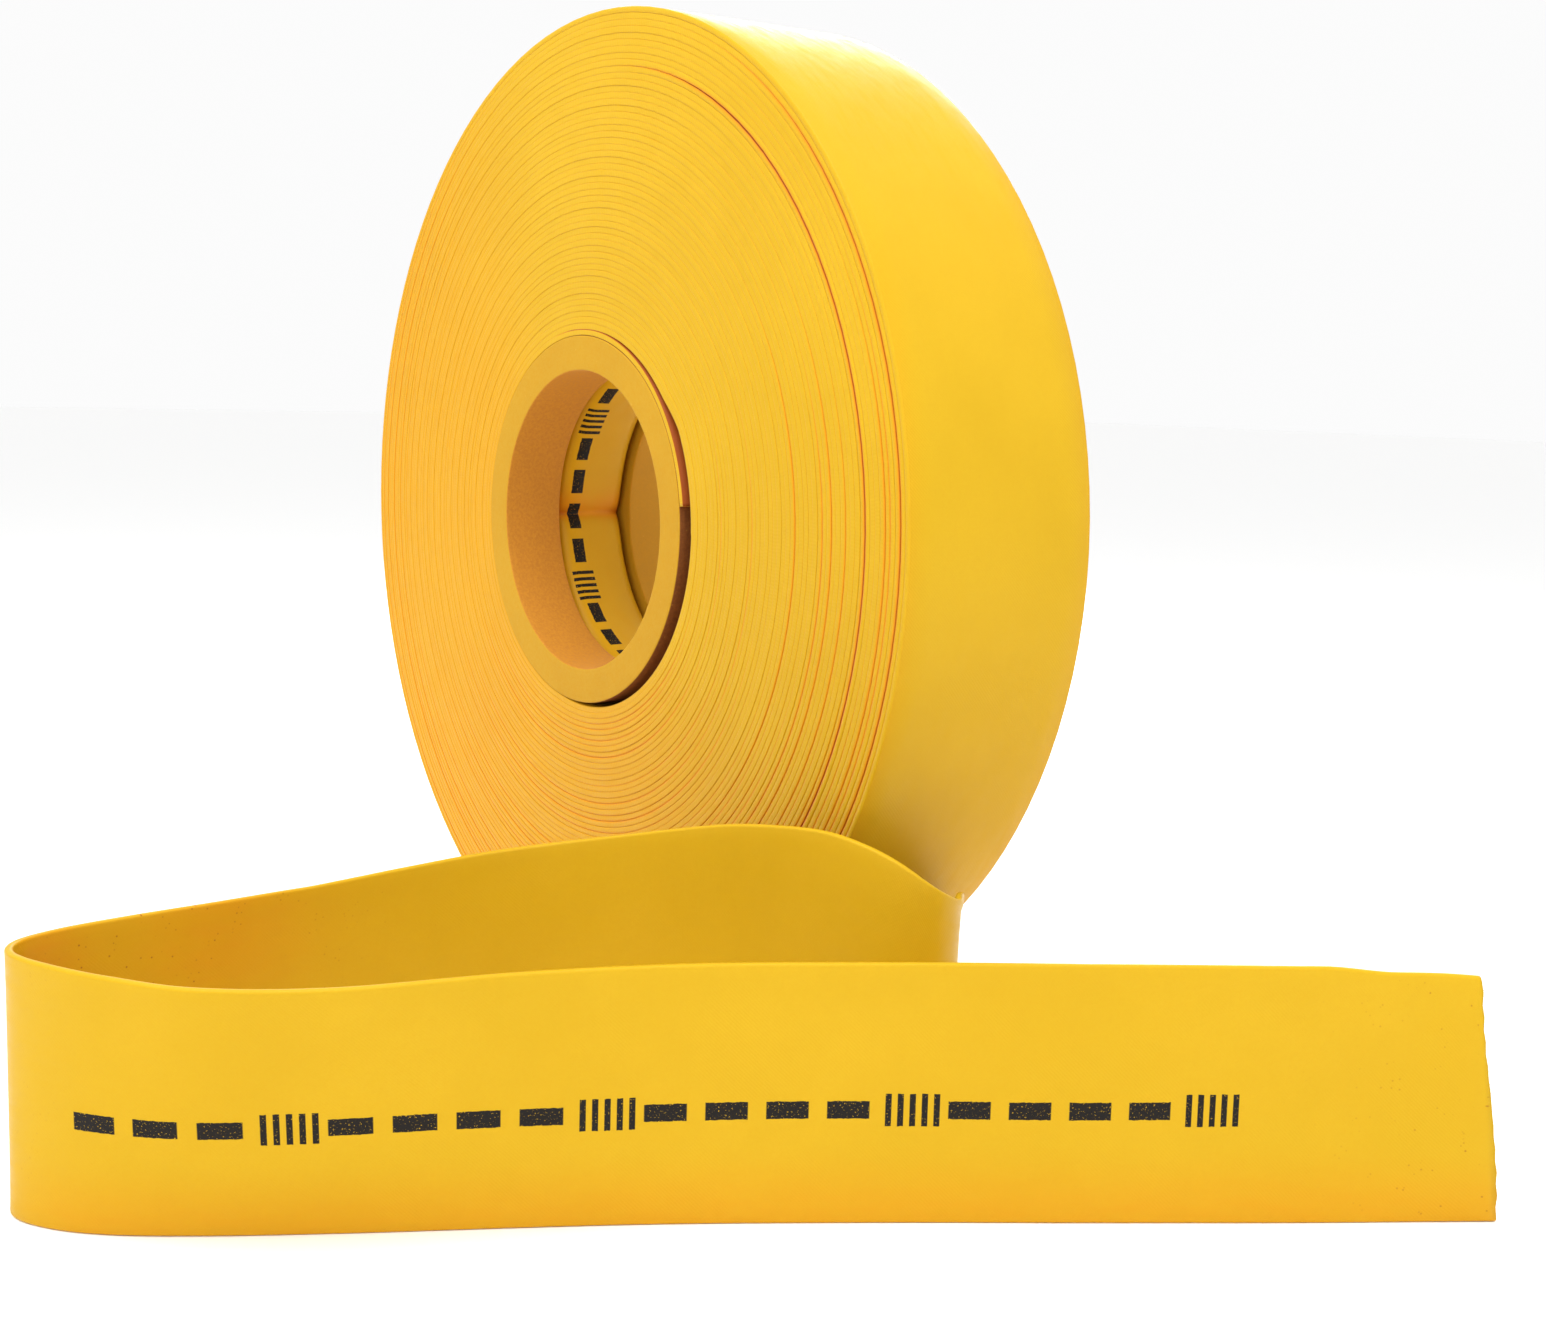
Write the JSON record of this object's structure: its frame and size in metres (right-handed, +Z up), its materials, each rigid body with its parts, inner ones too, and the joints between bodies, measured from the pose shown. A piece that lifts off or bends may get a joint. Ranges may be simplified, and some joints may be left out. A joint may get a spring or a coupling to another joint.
{
  "type": "rolled layflat hose",
  "caption": "Flat woven-reinforced hose wound into an upright roll on a pair of pull-out core rings, with its loose end laid out in a loop on edge.",
  "frame": {"origin": "on the floor, under the centre of the roll", "axes": "+Z up, +Y along the roll's axis towards its back face, +X towards the side where the loose end leaves the roll"},
  "size_m": [0.5603, 0.3906, 0.4073],
  "materials": {
    "hose": "satin",
    "core_ring": "matte"
  },
  "bodies": {
    "roll": {"wound_turns": "hose", "inner_turn": "hose", "outer_turn": "hose", "free_end_loop": "hose"},
    "loose_leg": {"free_end_leg": "hose"},
    "front_core": {"front_core_ring": "core_ring"},
    "back_core": {"back_core_ring": "core_ring"}
  },
  "joints": [
    {"name": "leg_swing", "type": "hinge", "parent": "roll", "child": "loose_leg", "pos_m": [0.108, -0.3073, 0.042], "axis": [0, 0, 1], "range_deg": [-50, 6]},
    {"name": "front_core_pull", "type": "slide", "parent": "roll", "child": "front_core", "axis": [0, -1, 0], "range_m": [0, 0.06]},
    {"name": "back_core_pull", "type": "slide", "parent": "roll", "child": "back_core", "axis": [0, 1, 0], "range_m": [0, 0.06]}
  ]
}
